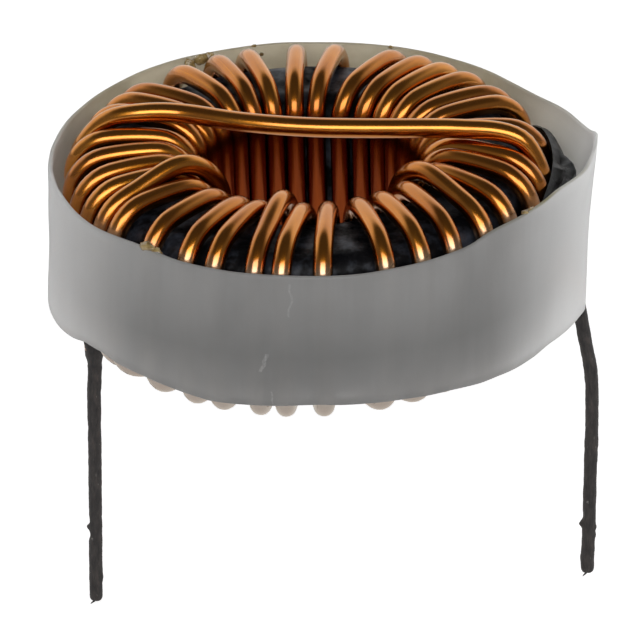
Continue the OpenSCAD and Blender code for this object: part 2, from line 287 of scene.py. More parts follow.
def resample(p, step):
    """The same route with points about a step apart, and no two in one place, and their distances."""
    d = distances(p)
    keep = np.r_[True, np.diff(d) > 1e-6]
    d, p = d[keep], p[keep]
    t = np.linspace(0, d[-1], max(2, int(round(d[-1] / step)) + 1))
    return np.stack([np.interp(t, d, p[:, i]) for i in range(3)], axis=1), t


def smooth(p, rounds):
    for _ in range(rounds):
        q = p.copy()
        q[1:-1] = 0.25 * p[:-2] + 0.5 * p[1:-1] + 0.25 * p[2:]
        p = q
    return p


def new_object(name, verts, faces, attributes=None, smooth_shade=True):
    """A mesh object from vertices in millimetres."""
    mesh = bpy.data.meshes.new(name)
    mesh.from_pydata([tuple(v) for v in np.asarray(verts) * MM], [], [tuple(face) for face in faces])
    mesh.validate()
    for key, values in (attributes or {}).items():
        layer = mesh.attributes.new(key, "FLOAT", "POINT")
        layer.data.foreach_set("value", np.asarray(values, dtype=np.float32))
    mesh.polygons.foreach_set("use_smooth", [smooth_shade] * len(mesh.polygons))
    mesh.update()
    obj = bpy.data.objects.new(name, mesh)
    bpy.context.scene.collection.objects.link(obj)
    return obj


def skin(rings, sides, closed=False):
    """Faces between rings of vertices. A closed skin joins its last ring to its first."""
    faces = []
    for i in range(rings if closed else rings - 1):
        here, there = i * sides, (i + 1) % rings * sides
        for j in range(sides):
            k = (j + 1) % sides
            faces.append((here + j, here + k, there + k, there + j))
    return faces


def shifted(faces, by):
    """Faces for vertices that come after others in one mesh."""
    return [tuple(i + by for i in face) for face in faces]


def tube(p, radius, sides, section=None):
    """Rings round a route: vertices, faces, distance along and angle around for each vertex."""
    n = len(p)
    ahead = np.empty_like(p)
    ahead[1:-1] = p[2:] - p[:-2]
    ahead[0], ahead[-1] = p[1] - p[0], p[-1] - p[-2]
    ahead /= np.linalg.norm(ahead, axis=1)[:, None]
    u = np.cross(ahead[0], (0, 1, 0))
    side = np.empty_like(p)
    for i in range(n):
        u = u - ahead[i] * (u @ ahead[i])
        u /= np.linalg.norm(u)
        side[i] = u
    third = np.cross(ahead, side)
    a = np.linspace(0, 2 * np.pi, sides, endpoint=False)
    r = np.broadcast_to(np.asarray(radius, dtype=float).reshape(-1, 1), (n, sides)).copy()
    if section is not None:
        r = r + section
    outward = np.cos(a)[None, :, None] * side[:, None, :] + np.sin(a)[None, :, None] * third[:, None, :]
    verts = (p[:, None, :] + r[:, :, None] * outward).reshape(-1, 3)
    faces = skin(n, sides)
    faces.append(tuple(range(sides - 1, -1, -1)))
    faces.append(tuple((n - 1) * sides + j for j in range(sides)))
    return verts, faces, np.repeat(distances(p), sides), np.tile(a, n)


# Materials
class Nodes:
    """Short names for building one node tree."""

    def __init__(self, tree):
        self.tree = tree

    def add(self, kind, **properties):
        node = self.tree.nodes.new("ShaderNode" + kind)
        for key, value in properties.items():
            setattr(node, key, value)
        return node

    def put(self, value, socket):
        """Link a node's output to a socket, or set the socket to a number or a colour."""
        if hasattr(value, "is_output"):
            self.tree.links.new(value, socket)
        elif isinstance(value, tuple):
            socket.default_value = (*value, 1)
        else:
            socket.default_value = value

    def math(self, operation, *values):
        node = self.add("Math", operation=operation)
        for value, socket in zip(values, node.inputs):
            self.put(value, socket)
        return node.outputs[0]

    def plus(self, a, b):
        return self.math("ADD", a, b)

    def times(self, a, b):
        return self.math("MULTIPLY", a, b)

    def spread(self, value, low, high, start=0.0, stop=1.0, kind="LINEAR"):
        """Low where the value is at its start and high where it is at its stop."""
        node = self.add("MapRange", interpolation_type=kind)
        for key, number in (("From Min", start), ("From Max", stop), ("To Min", low), ("To Max", high)):
            node.inputs[key].default_value = number
        self.put(value, node.inputs["Value"])
        return node.outputs["Result"]

    def pick(self, switch, off, on):
        """One of two numbers, by a switch that is 0 or 1."""
        node = self.add("Mix")
        for value, socket in ((switch, node.inputs[0]), (off, node.inputs[2]), (on, node.inputs[3])):
            self.put(value, socket)
        return node.outputs[0]


class Look(Nodes):
    """The nodes of one material."""

    def __init__(self, name):
        self.material = bpy.data.materials.new(name)
        self.material.use_nodes = True
        super().__init__(self.material.node_tree)
        self.surface = self.tree.nodes["Principled BSDF"]
        self.output = self.tree.nodes["Material Output"]

    def place(self, *scale):
        """Object coordinates in millimetres times one scale, or times one for each axis."""
        mapping = self.add("Mapping")
        mapping.inputs["Scale"].default_value = [s / MM for s in (scale * 3 if len(scale) == 1 else scale)]
        self.put(self.add("TexCoord").outputs["Object"], mapping.inputs["Vector"])
        return mapping.outputs["Vector"]

    def position(self):
        """The three object coordinates in millimetres."""
        split = self.add("SeparateXYZ")
        self.put(self.add("TexCoord").outputs["Object"], split.inputs[0])
        return (self.times(split.outputs[axis], 1 / MM) for axis in "XYZ")

    def attribute(self, name):
        return self.add("Attribute", attribute_name=name).outputs["Fac"]

    def along(self, per_mm, per_turn):
        """A coordinate that runs along a tube's route, and round it, with no seam."""
        around = self.attribute("around")
        both = self.add("CombineXYZ")
        self.put(self.times(self.attribute("along"), per_mm), both.inputs["X"])
        self.put(self.times(self.math("COSINE", around), per_turn), both.inputs["Y"])
        self.put(self.times(self.math("SINE", around), per_turn), both.inputs["Z"])
        return both.outputs["Vector"]

    def noise(self, vector, detail=3, rough=0.5, distort=0.0):
        node = self.add("TexNoise")
        for key, number in (("Scale", 1), ("Detail", detail), ("Roughness", rough), ("Distortion", distort)):
            node.inputs[key].default_value = number
        self.put(vector, node.inputs["Vector"])
        return node.outputs["Fac"]

    def ramp(self, value, *stops):
        """A colour by a value: each stop is a value and its colour."""
        node = self.add("ValToRGB")
        elements = node.color_ramp.elements
        while len(elements) < len(stops):
            elements.new(0.5)
        for element, (position, colour) in zip(elements, stops):
            element.position = position
            element.color = (*colour, 1)
        self.put(value, node.inputs["Fac"])
        return node.outputs["Color"]

    def blend(self, factor, a, b):
        """Colour a where the factor is 0 and colour b where it is 1."""
        node = self.add("Mix", data_type="RGBA")
        colours = [socket for socket in node.inputs if socket.type == "RGBA"]
        for value, socket in zip((factor, a, b), [node.inputs["Factor"], *colours]):
            self.put(value, socket)
        return next(socket for socket in node.outputs if socket.type == "RGBA")

    def bump(self, height, strength, depth):
        """Unevenness of the surface, with its depth in millimetres."""
        node = self.add("Bump")
        self.put(strength, node.inputs["Strength"])
        self.put(depth * MM, node.inputs["Distance"])
        self.put(height, node.inputs["Height"])
        self.put(node.outputs["Normal"], self.surface.inputs["Normal"])

    def set(self, **values):
        for key, value in values.items():
            self.put(value, self.surface.inputs[key.replace("_", " ")])


def copper_material():
    """Enamelled copper, with painted shade that makes it darker and redder far down in the bore, and painted
    reflection that makes it whitish on the outer turns in front and under them.
    """
    look = Look("enamelled_copper")
    brown, orange, gold = (0.46, 0.155, 0.01), (0.56, 0.21, 0.014), (0.66, 0.275, 0.025)
    streak_brown = (0.3, 0.075, 0.006)
    shade_brown, shade_red = (0.12, 0.02, 0.003), (0.32, 0.06, 0.006)
    front_reflection_colour, underside_reflection_colour = (0.62, 0.57, 0.52), (0.42, 0.42, 0.48)
    lengths = look.noise(look.along(0.09, 0.4))
    patch = look.noise(look.place(0.35), 3, 0.55)
    streak = look.noise(look.along(0.25, 2.6), 4, 0.6)
    fine = look.noise(look.along(1.5, 3.0), 2)
    bore_shade = look.attribute("bore_shade")
    base = look.ramp(look.plus(look.times(lengths, 0.5), look.times(patch, 0.5)),
                     (0.36, brown), (0.5, orange), (0.64, gold))
    base = look.blend(look.spread(streak, -0.1, 0.3), base, streak_brown)
    # Painted shade: far down in the bore the wire turns dark brown and red, with less coat
    base = look.blend(bore_shade, base, look.blend(streak, shade_brown, shade_red))
    # Painted reflection: whitish on the lower ends of the outer turns in front
    base = look.blend(look.times(look.attribute("front_reflection"), 0.82), base, front_reflection_colour)
    # Painted reflection: grey-white on the undersides of the turns in front
    base = look.blend(look.times(look.attribute("under"), 0.9), base, underside_reflection_colour)
    look.set(Base_Color=base, Metallic=1.0, Roughness=look.spread(streak, 0.17, 0.29),
             Coat_Weight=look.spread(bore_shade, 0.8, 0.15), Coat_Roughness=0.12, Coat_IOR=1.5,
             Coat_Tint=(1.0, 0.88, 0.66))
    look.bump(look.plus(streak, look.times(fine, 0.5)), 0.22, 0.02)
    return look.material


def tin_material():
    """Dull dark tin with a few light specks."""
    look = Look("tinned_wire")
    dark, grey, light = (0.028, 0.026, 0.026), (0.05, 0.045, 0.043), (0.085, 0.07, 0.065)
    speck = (0.2, 0.19, 0.18)
    black, white = (0, 0, 0), (1, 1, 1)
    rough = look.noise(look.along(1.2, 1.5), 4, 0.65)
    spots = look.noise(look.along(2.6, 2.6), 2)
    fine = look.noise(look.along(5, 4))
    base = look.ramp(rough, (0.35, dark), (0.55, grey), (0.72, light))
    base = look.blend(look.ramp(spots, (0.7, black), (0.78, white)), base, speck)
    look.set(Base_Color=base, Metallic=0.55, Roughness=look.spread(rough, 0.42, 0.65))
    look.bump(look.plus(rough, look.times(fine, 0.6)), 0.7, 0.06)
    return look.material


def core_material():
    """A dark coat, glossy in some places and dull in others."""
    look = Look("core_coat")
    black, blue_grey = (0.005, 0.005, 0.006), (0.045, 0.052, 0.07)
    mottle = look.noise(look.place(0.6), 4, 0.6)
    grain = look.noise(look.place(4), 3, 0.6)
    look.set(Base_Color=look.ramp(mottle, (0.46, black), (0.68, blue_grey)),
             Roughness=look.spread(mottle, 0.7, 0.2), Specular_IOR_Level=look.spread(mottle, -0.4, 0.7))
    look.bump(look.plus(mottle, look.times(grain, 0.35)), 0.35, 0.08)
    return look.material


# Where painted light turns the film white towards its two ends, as distances from the ring's middle along X
LIT_END_FROM, LIT_END_TO = 8.0, 17.0
# Level of the film's darkest tone in front, a band of painted shade, and how far above and below it that tone
# reaches
SHADE_Z, SHADE_REACH = RING_Z - 0.5, 3.6
# How far behind the ring's middle the stain, lightened with painted light, is full
LIT_STAIN_Y = 9.0
# Pale creases in front: place along X, lean, lower and upper end, half width
CREASES = [(-4.6, 0.02, 14.9, 16.8, 0.05), (-6.6, 0.08, 11.7, 12.75, 0.1), (-5.0, -0.02, 9.9, 10.6, 0.04)]


def film_material():
    """Milky film: painted shade across the ring's middle height, white at both ends with painted light,
    stained behind and lightened there with painted light, soaked with varnish along a stretch of its rim.
    """
    look = Look("sleeve_film")
    grey, light_grey, shade = (0.33, 0.325, 0.32), (0.42, 0.415, 0.41), (0.15, 0.15, 0.147)
    white, crease = (0.97, 0.97, 0.965), (0.8, 0.8, 0.79)
    lit_stain_dark, lit_stain_bright, varnished = (0.5, 0.44, 0.31), (0.66, 0.6, 0.46), (0.27, 0.25, 0.11)
    cloud = look.noise(look.place(0.16, 0.16, 0.1), 4, 0.55, 0.4)
    drawn = look.noise(look.place(1.3, 1.3, 0.12), 3, 0.55)
    fine = look.noise(look.place(9), 2)
    wander = look.times(look.noise(look.place(0.2, 0.2, 0.9), 2), 0.9)
    x, y, z = look.position()
    tone = look.plus(look.times(cloud, 0.75), look.times(drawn, 0.25))
    middle = look.ramp(tone, (0.36, grey), (0.62, light_grey))
    # Painted shade: darker towards the ring's middle height
    level = look.times(look.math("ABSOLUTE", look.math("SUBTRACT", z, SHADE_Z)), 1 / SHADE_REACH)
    middle = look.blend(look.spread(level, 0.45, 0.0), middle, shade)
    # Painted light: the film whitens towards both ends
    to_end = look.math("ABSOLUTE", look.plus(x, RING_SHIFT))
    base = look.blend(look.spread(to_end, 0.0, 1.0, LIT_END_FROM, LIT_END_TO, "SMOOTHSTEP"), middle, white)
    # The stain behind, with painted light: lighter there as if lit through the film
    lit_stain = look.ramp(look.noise(look.place(0.3, 0.3, 0.5), 4, 0.6), (0.35, lit_stain_dark), (0.65, lit_stain_bright))
    base = look.blend(look.spread(look.times(y, 1 / LIT_STAIN_Y), 0.0, 1.0), base, lit_stain)
    base = look.blend(look.attribute("soaked"), base, varnished)
    front = look.math("LESS_THAN", y, 0.0)
    for at, lean, low, high, half_width in CREASES:
        off = look.math("SUBTRACT", x, look.plus(look.times(z, lean), wander))
        near = look.math("LESS_THAN", look.math("ABSOLUTE", look.math("SUBTRACT", off, at)), half_width)
        span = look.times(look.math("GREATER_THAN", z, low), look.math("LESS_THAN", z, high))
        line = look.times(look.times(near, span), front)
        base = look.blend(look.times(line, look.spread(fine, -0.2, 0.6)), base, crease)
    look.set(Base_Color=base, Roughness=look.spread(fine, 0.32, 0.44), IOR=1.45, Transmission_Weight=0.5)
    look.bump(look.plus(look.times(drawn, 0.25), look.times(fine, 0.12)), 0.3, 0.1)
    return look.material


def tape_material():
    look = Look("black_tape")
    black, grey = (0.006, 0.0055, 0.005), (0.016, 0.017, 0.018)
    fold = look.noise(look.place(0.7))
    fine = look.noise(look.place(7), 3, 0.6)
    look.set(Base_Color=look.ramp(fold, (0.4, black), (0.66, grey)),
             Roughness=look.spread(fine, 0.3, 0.48), Specular_IOR_Level=0.28)
    look.bump(look.plus(fold, look.times(fine, 0.15)), 0.3, 0.1)
    return look.material


def varnish_material():
    look = Look("varnish")
    brown, yellow = (0.12, 0.07, 0.02), (0.36, 0.26, 0.1)
    cloud = look.noise(look.place(1.8))
    look.set(Base_Color=look.ramp(cloud, (0.35, brown), (0.6, yellow)),
             Roughness=look.spread(cloud, 0.18, 0.34), Coat_Weight=0.6, Coat_Roughness=0.08)
    look.bump(look.noise(look.place(3)), 0.3, 0.1)
    return look.material


COPPER, TIN, CORE, FILM, TAPE, VARNISH = (
    copper_material(), tin_material(), core_material(), film_material(), tape_material(), varnish_material())


def finish_piece(obj, material, slot, *nodes):
    obj.data.materials.clear()
    obj.data.materials.append(material)
    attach(obj, "root")
    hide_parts(*nodes)


# Core
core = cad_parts["core"]
core.data.materials.clear()
core.data.materials.append(CORE)
for poly in core.data.polygons:
    poly.use_smooth = True


# Winding
def make_winding():
    """The wire, with masks for painted shade far down in the bore and for painted reflection on the outer
    turns in front and underneath.
    """
    fine_route, _ = resample(wire_route(), FINE_STEP)
    route, _ = resample(smooth(fine_route, SMOOTH_ROUNDS), WIRE_STEP)
    verts, faces, along, around = tube(route, np.full(len(route), WIRE_R), WIRE_SIDES)
    x, y, z = np.array([off_ring(p) for p in route]).T
    far = np.hypot(x, y)
    # Each mask of painted shade or painted reflection sets in by the distance from the axis, the height and
    # how far in front the place lies
    painted_light_masks = {
        # Painted shade far down in the bore, painted reflection low on the outer turns in front and on their
        # undersides
        "bore_shade": fade(far, 7.1, 6.5) * fade(z, 4.4, 2.8),
        "front_reflection": fade(far, 12.0, 12.3) * fade(z, 4.8, 3.9) * fade(y, -4, -8),
        "under": fade(far, 9.8, 10.8) * fade(z, -1.8, -2.8) * fade(y, -1, -4),
    }
    attributes = {"along": along, "around": around}
    for key, painted_mask in painted_light_masks.items():
        attributes[key] = np.repeat(painted_mask, WIRE_SIDES)
    return new_object("enamelled_wire", verts, faces, attributes)


finish_piece(make_winding(), COPPER, "enamelled_copper", "winding")


# Leads
LEAD_STEP, LEAD_SIDES, LEAD_SCALE = 0.1, 24, 0.94
# Length over which a lead's end narrows, and the share of its radius left at the very end
TIP_LENGTH, TIP_SHARE = 0.3, 0.3
# How far round a lead a spur spreads, as an angle
SPUR_SPREAD = 28.0
WISP_SIDES, WISP_R, WISP_END_R = 6, 0.09, 0.012
# How much of the enamelled wire above the left lead the tin covers
TIN_CREEP = 1.3

# Route of each lead from its joint down, as height and place along X
LEFT_FALL = [(LEFT_TOP - 0.1, -LEAD_X), (4.8, -13.43), (3.3, -13.5), (0, -13.5), (-5, -13.52),
             (-9.75, -13.55)]
RIGHT_FALL = [(RIGHT_TOP, LEAD_X - BOW), (7.5, 12.5), (6.5, 12.7), (5.6, 12.87), (4.7, 13.06), (3.9, 13.2),
              (3, 13.29), (1.8, 13.34), (0, 13.37), (-4, 13.385), (-RIGHT_REACH, 13.4)]
# Radius by the distance from the top
LEFT_PROFILE = [(0, WIRE_R + 0.02), (1.1, WIRE_R + 0.05), (1.6, WIRE_R + 0.02), (2.2, LEAD_R + 0.02),
                (6, LEAD_R), (20, LEAD_R)]
RIGHT_PROFILE = [(0, LEAD_R + 0.09), (0.7, LEAD_R + 0.05), (2, LEAD_R), (20, LEAD_R)]
# Spurs and hollows: height, angle, size, width
LEFT_SPURS = [(-5.1, 180, 0.13, 0.16), (-4.7, 185, -0.12, 0.22), (-5.55, 175, -0.1, 0.25),
              (-8.2, 20, 0.06, 0.3)]
RIGHT_SPURS = [(-5.7, 180, 0.19, 0.2), (-5.95, 0, 0.08, 0.16), (-6.45, 5, 0.07, 0.22),
               (-5.2, 170, -0.08, 0.3), (-7.9, 190, 0.06, 0.3)]
# The thin wisp of solder at each end
LEFT_WISP = [(-13.6, 0, -9.6), (-13.66, -0.03, -9.8), (-13.8, -0.05, -9.9), (-13.86, -0.05, -9.96)]
RIGHT_WISP = [(13.4, 0, -8.7), (13.3, -0.04, -8.88), (13.2, -0.05, -8.98), (13.14, -0.05, -9.05)]


def unevenness(distance, seed):
    """How much wider or narrower than its size a lead is, at each distance along it."""
    return np.array([LEAD_SCALE * (1 + 0.05 * noise.noise(Vector((0.9 * s, seed, 0)))
                                   + 0.03 * noise.noise(Vector((3.1 * s, seed, 5)))) for s in distance])


def make_lead(name, path, profile, spurs, wisp, seed):
    """A rough lead down a path, with a wisp of solder at its end."""
    route, distance = resample(np.array(path), LEAD_STEP)
    radius = unevenness(distance, seed) * np.interp(distance, *zip(*profile))
    end = np.clip((distance[-1] - distance) / TIP_LENGTH, 0, 1)
    radius *= TIP_SHARE + (1 - TIP_SHARE) * np.sqrt(1 - (1 - end) ** 2)
    angles = np.linspace(0, 2 * np.pi, LEAD_SIDES, endpoint=False)
    section = np.array([[0.022 * noise.noise(Vector((1.3 * math.cos(a), 1.3 * math.sin(a), 1.7 * s + seed)))
                         + 0.012 * noise.noise(Vector((4 * math.cos(a), 4 * math.sin(a), 5 * s + seed)))
                         for a in angles] for s in distance])
    for height, angle, size, width in spurs:
        by_height = np.exp(-((route[:, 2] - height) / width) ** 2)
        by_angle = np.exp(-((np.degrees(angles) - angle + 180) % 360 - 180) ** 2 / SPUR_SPREAD ** 2)
        section += size * by_height[:, None] * by_angle[None, :]
    verts, faces, along, around = tube(route, radius, LEAD_SIDES, section)
    thread = tube(np.array(wisp), np.linspace(WISP_R, WISP_END_R, len(wisp)), WISP_SIDES)
    faces = faces + shifted(thread[1], len(verts))
    return new_object(name, np.vstack([verts, thread[0]]), faces, {
        "along": np.r_[along, thread[2]], "around": np.r_[around, thread[3]]})


def wire_tail(length):
    """The last stretch of the wire above the left lead, from its far end down."""
    route = wire_route()[::-1]
    d = distances(route)
    return [np.array([np.interp(x, d, route[:, i]) for i in range(3)]) for x in np.linspace(length, 0.1, 8)]


def fall(points):
    return [(x, 0, z) for z, x in points]


left_lead = make_lead("left_tinned_lead", wire_tail(TIN_CREEP) + fall(LEFT_FALL),
                      LEFT_PROFILE, LEFT_SPURS, LEFT_WISP, 3.0)
finish_piece(left_lead, TIN, "tinned_wire", "left_lead")
right_lead = make_lead("right_tinned_lead", fall(RIGHT_FALL), RIGHT_PROFILE, RIGHT_SPURS, RIGHT_WISP, 8.0)
finish_piece(right_lead, TIN, "tinned_wire", "right_lead")


# Sleeve
BAND_R = WINDING_R + BAND_GAP + BAND_WALL
BAND_PIVOT = CORE_H / 4
BAND_SLOPE = tan(BAND_LEAN)
EXIT_Z = -BAND_LOW - BAND_DROP
JOINT = off_ring(RIGHT_JOINT)
EXIT_X = JOINT[0] + (JOINT[2] - EXIT_Z) * tan(BOW_ANGLE + RING_LEAN)
FOLD_X = (EXIT_X + (LEAD_R + LEAD_GAP + BAND_WALL) / sin(FOLD_HALF)
          + (BAND_PIVOT - EXIT_Z) * BAND_SLOPE)
BAND_REACH = FOLD_X - FOLD_R * (1 / sin(FOLD_HALF) - 1)
BAND_STEP, BAND_ROWS = 0.3, 26
# How far each side of the wall draws in at the film's two rims, and how near to a rim it is full again
RIM_INSET, RIM_HEIGHT = 0.06, 0.07
# Half the width that the construction leaves the film across the leads
HALF_WIDTH = 13.6
# Angle of the stretch of the rims that varnish has soaked into, and half its length as an angle
SOAKED_AT, SOAKED_HALF = -28, 17
# The lower edge's sag by the place along X, in parts of the sleeve's radius and of its drop at the fold
LOW_EDGE = [(-1, 0.1), (-0.94, -0.1), (-0.88, -0.33), (-0.82, -0.36), (-0.77, -0.29), (-0.66, -0.26),
            (-0.53, -0.13), (-0.42, -0.02), (-0.3, -0.04), (0, -0.07), (0.31, 0.1),
            (0.5, 0.22), (0.7, 0.45), (0.89, 0.74), (1.1, 1)]
# Rises and dips of the upper edge: angle, width, height
HIGH_EDGE = [(0.5, 2.6, 0.38), (-39, 9, 0.2), (-132, 26, 0.15), (-80, 22, -0.08)]
# Dents and bulges of the wall: angle, width, push outward low down and at the top
DENTS = [(-135, 9, 0, -0.36), (-48, 7, 0, -0.34), (124, 16, 0, 0.22), (0, 3, -0.42, -0.3),
         (-163, 12, 0, -0.1), (-13.5, 8.5, 0.203, 0.58), (14, 9.5, 0.135, 0.45)]


def band_plan():
    """Outer plan of the sleeve, a circle drawn out to the fold, as points and outward normals."""
    apart = BAND_REACH - FOLD_R + BAND_SHIFT
    lean = math.degrees(math.acos((BAND_R - FOLD_R) / apart))
    pts = [(apart + FOLD_R * cos(a), FOLD_R * sin(a)) for a in np.linspace(-lean, lean, 40)]
    pts += [(BAND_R * cos(a), BAND_R * sin(a)) for a in np.linspace(lean, 360 - lean, 400)]
    pts = np.array(pts + pts[:1]) - (BAND_SHIFT, 0)
    d = distances(pts)
    t = np.linspace(0, d[-1], int(d[-1] / BAND_STEP), endpoint=False)
    p = np.stack([np.interp(t, d, pts[:, i]) for i in range(2)], axis=1)
    tangent = np.roll(p, -1, axis=0) - np.roll(p, 1, axis=0)
    tangent /= np.linalg.norm(tangent, axis=1)[:, None]
    return p, np.stack([tangent[:, 1], -tangent[:, 0]], axis=1)


def band_push(angle, f):
    """How far the sleeve stands out of its plan, with f from 0 at its bottom to 1 at its top."""
    top = ease((f - 0.55) / 0.45)
    push = sum((low + (high - low) * top) * bell(angle, at, width) for at, width, low, high in DENTS)
    ring = Vector((2.2 * cos(angle), 2.2 * sin(angle), 0.9 * f))
    push += 0.1 * noise.noise(ring * 1.3 + Vector((4, 0, 0)))
    push += 0.035 * noise.noise(ring * 4.1)
    return push


def band_edges(p, angle):
    """Heights of the sleeve's lower and upper edge."""
    waver = 0.05 * noise.noise(Vector((3 * cos(angle), 3 * sin(angle), 7)))
    low = -BAND_LOW - BAND_DROP * np.interp(p[0] / BAND_R, *zip(*LOW_EDGE))
    high = BAND_TOP + 0.7 * waver
    for at, width, height in HIGH_EDGE:
        high += height * bell(angle, at, width)
    return low + waver, high


def make_sleeve():
    """The film as one closed skin: rows up its outer side, then rows down its inner side."""
    plan, normal = band_plan()
    verts, soaked = [], []
    for inner in (False, True):
        for row in range(BAND_ROWS + 1):
            f = 1 - row / BAND_ROWS if inner else row / BAND_ROWS
            at_rim = row in (0, BAND_ROWS)
            inset = BAND_WALL * inner + at_rim * (-RIM_INSET if inner else RIM_INSET)
            for p, outward in zip(plan, normal):
                angle = math.degrees(math.atan2(p[1], p[0]))
                low, high = band_edges(p, angle)
                x, y = p + outward * (band_push(angle, f) - inset)
                z = low + (high - low) * f
                if row in (1, BAND_ROWS - 1):
                    z = low + RIM_HEIGHT if f < 0.5 else high - RIM_HEIGHT
                x += (z - BAND_PIVOT) * BAND_SLOPE
                verts.append(on_ring((x, min(HALF_WIDTH, max(-HALF_WIDTH, y)), z)))
                patchy = 0.7 + 0.6 * noise.noise(Vector((angle * 0.12, 3, 0)))
                wet = at_rim and (inner or row > 0)
                soaked.append(bell(angle, SOAKED_AT, SOAKED_HALF) * patchy if wet else 0)
    faces = skin(2 * (BAND_ROWS + 1), len(plan), closed=True)
    return new_object("film_sleeve", verts, faces, {"soaked": soaked})


finish_piece(make_sleeve(), FILM, "sleeve_film", "sleeve")


# Tape
TAPE_R = WINDING_R + 0.1
TAPE_TO_FILM = 0.22
TAPE_SECTIONS = 140
# Along the tape: angle, width, how far its inner edge, its crease and its outer edge lie below its top, and
# where across it the crease runs
TAPE_AT = [
    (-27.5, 0.12, 1.2, 1.2, 1.2, 0.5), (-24, 0.6, 0.6, 0.75, 1.0, 0.4),
    (-18.5, 1.15, 0.25, 0.6, 0.75, 0.55), (-13.5, 1.45, 0.1, 0.55, 0.25, 0.45),
    (-9.5, 1.2, 0.0, 0.2, 0.75, 0.6), (-4.5, 0.88, 0.05, 0.5, 0.35, 0.35),
    (0.5, 0.5, 0.0, 0.15, 0.5, 0.5), (7, 0.26, 0.05, 0.1, 0.2, 0.5),
    (12, 0.18, 0.15, 0.2, 0.3, 0.5), (18.5, 0.12, 0.7, 0.7, 0.75, 0.5)]


def tape_section(room, width, dip_in, dip_mid, dip_out, crease):
    """One section of the tape as radii and heights: up its inner side, over its creased top and down."""
    width = max(0.1, min(width, room))
    shoulder = 0.2 * ease((2.4 - dip_in) / 2)
    section = [(TAPE_R, PAD_TOP - PAD_H), (TAPE_R, BEND_Z + 0.1)]
    for f, dip in ((0, dip_in), (0.5 * crease, 0.5 * (dip_in + dip_mid)), (crease, dip_mid),
                   (0.5 + 0.5 * crease, 0.5 * (dip_mid + dip_out)), (0.93, dip_out), (1, dip_out + 0.08)):
        section.append((TAPE_R - shoulder * (1 - f) + width * f, PAD_TOP - dip))
    return section + [(TAPE_R + width, PAD_TOP - 0.6 * PAD_H), (TAPE_R + width, PAD_TOP - PAD_H)]


def make_tape():
    """A folded wedge of tape between the turns and the sleeve, creased along its top, thin at both ends."""
    at = np.array(TAPE_AT)
    wall, outward = band_plan()
    wall = wall - outward * (BAND_WALL + TAPE_TO_FILM)
    wall_angle = np.degrees(np.arctan2(wall[:, 1], wall[:, 0]))
    order = np.argsort(wall_angle)
    wall_angle, wall_r = wall_angle[order], np.hypot(wall[:, 0], wall[:, 1])[order]
    verts = []
    for angle in np.linspace(at[0, 0], at[-1, 0], TAPE_SECTIONS):
        room = float(np.interp(angle, wall_angle, wall_r)) - TAPE_R
        section = tape_section(room, *(float(np.interp(angle, at[:, 0], at[:, i])) for i in range(1, 6)))
        for r, z in section:
            rub = 0.03 * noise.noise(Vector((0.5 * angle, 3 * r, z)))
            verts.append(on_ring(ring_point(r, angle, min(z + rub, PAD_TOP))))
    sides = len(section)
    faces = skin(TAPE_SECTIONS, sides)
    faces.append(tuple(range(sides)))
    faces.append(tuple((TAPE_SECTIONS - 1) * sides + j for j in range(sides - 1, -1, -1)))
    return new_object("folded_tape", verts, faces, smooth_shade=False)


finish_piece(make_tape(), TAPE, "black_tape", "insulating_pad")


# Varnish
LUMP_RINGS, LUMP_SIDES = 12, 20
# Each lump's angle and height on the sleeve, how far out of the film it lies, its half sizes and its seed
LUMPS = [
    (-131.8, 4.42, -0.06, (0.5, 0.24, 0.24), 1.0), (-129.8, 4.25, -0.18, (0.34, 0.2, 0.24), 2.0),
    (-128.4, 4.1, -0.24, (0.2, 0.16, 0.16), 2.6), (115.3, 3.85, -0.3, (0.36, 0.22, 0.38), 3.0),
    (112.2, 4.05, -0.28, (0.42, 0.24, 0.26), 4.0), (110.2, 4.12, -0.26, (0.3, 0.22, 0.24), 5.0),
    (99.1, 4.24, -0.08, (0.14, 0.1, 0.07), 6.0), (97.4, 3.72, -0.2, (0.12, 0.1, 0.1), 7.0),
    (66.7, 4.22, -0.08, (0.14, 0.1, 0.07), 8.0), (-37.5, 4.42, -0.08, (0.2, 0.18, 0.1), 9.0),
    (-35.5, 4.36, -0.12, (0.3, 0.12, 0.07), 10.0)]


def band_place(angle, z, out=0.0):
    """A point on the sleeve's middle surface, in the frame."""
    r = BAND_R - BAND_WALL / 2 + out + band_push(angle, 1)
    x, y = r * cos(angle) - BAND_SHIFT, r * sin(angle)
    return on_ring((x + (z - BAND_PIVOT) * BAND_SLOPE, y, z))


def lump(centre, along, size, seed):
    """An uneven drop: size is half its length along a direction, its half thickness and its half height."""
    ahead = Vector(along).normalized()
    up = Vector((0, 0, 1))
    out = ahead.cross(up).normalized()
    verts = []
    for i in range(LUMP_RINGS + 1):
        p = math.pi * i / LUMP_RINGS
        for j in range(LUMP_SIDES):
            q = 2 * math.pi * j / LUMP_SIDES
            d = Vector((math.sin(p) * math.cos(q), math.sin(p) * math.sin(q), math.cos(p)))
            k = 1 + 0.45 * noise.noise(d * 1.3 + Vector((seed, 0, 0)))
            k += 0.2 * noise.noise(d * 3 + Vector((0, seed, 0)))
            v = Vector(centre) + k * (d.x * size[0] * ahead + d.y * size[1] * out + d.z * size[2] * up)
            verts.append(tuple(v))
    return verts, skin(LUMP_RINGS + 1, LUMP_SIDES)


def make_varnish():
    verts, faces = [], []
    for angle, z, out, size, seed in LUMPS:
        edge = band_place(angle + 1, z) - band_place(angle, z)
        lump_verts, lump_faces = lump(band_place(angle, z, out), edge, size, seed)
        faces += shifted(lump_faces, len(verts))
        verts += lump_verts
    return new_object("dried_varnish", verts, faces)


finish_piece(make_varnish(), VARNISH, "varnish", "varnish_dabs")


# Floor, light and camera
CENTRE = np.array((-RING_SHIFT, 0, RING_Z))
FLOOR_Z = -LEFT_REACH - 0.02
FLOOR_HALF = 600
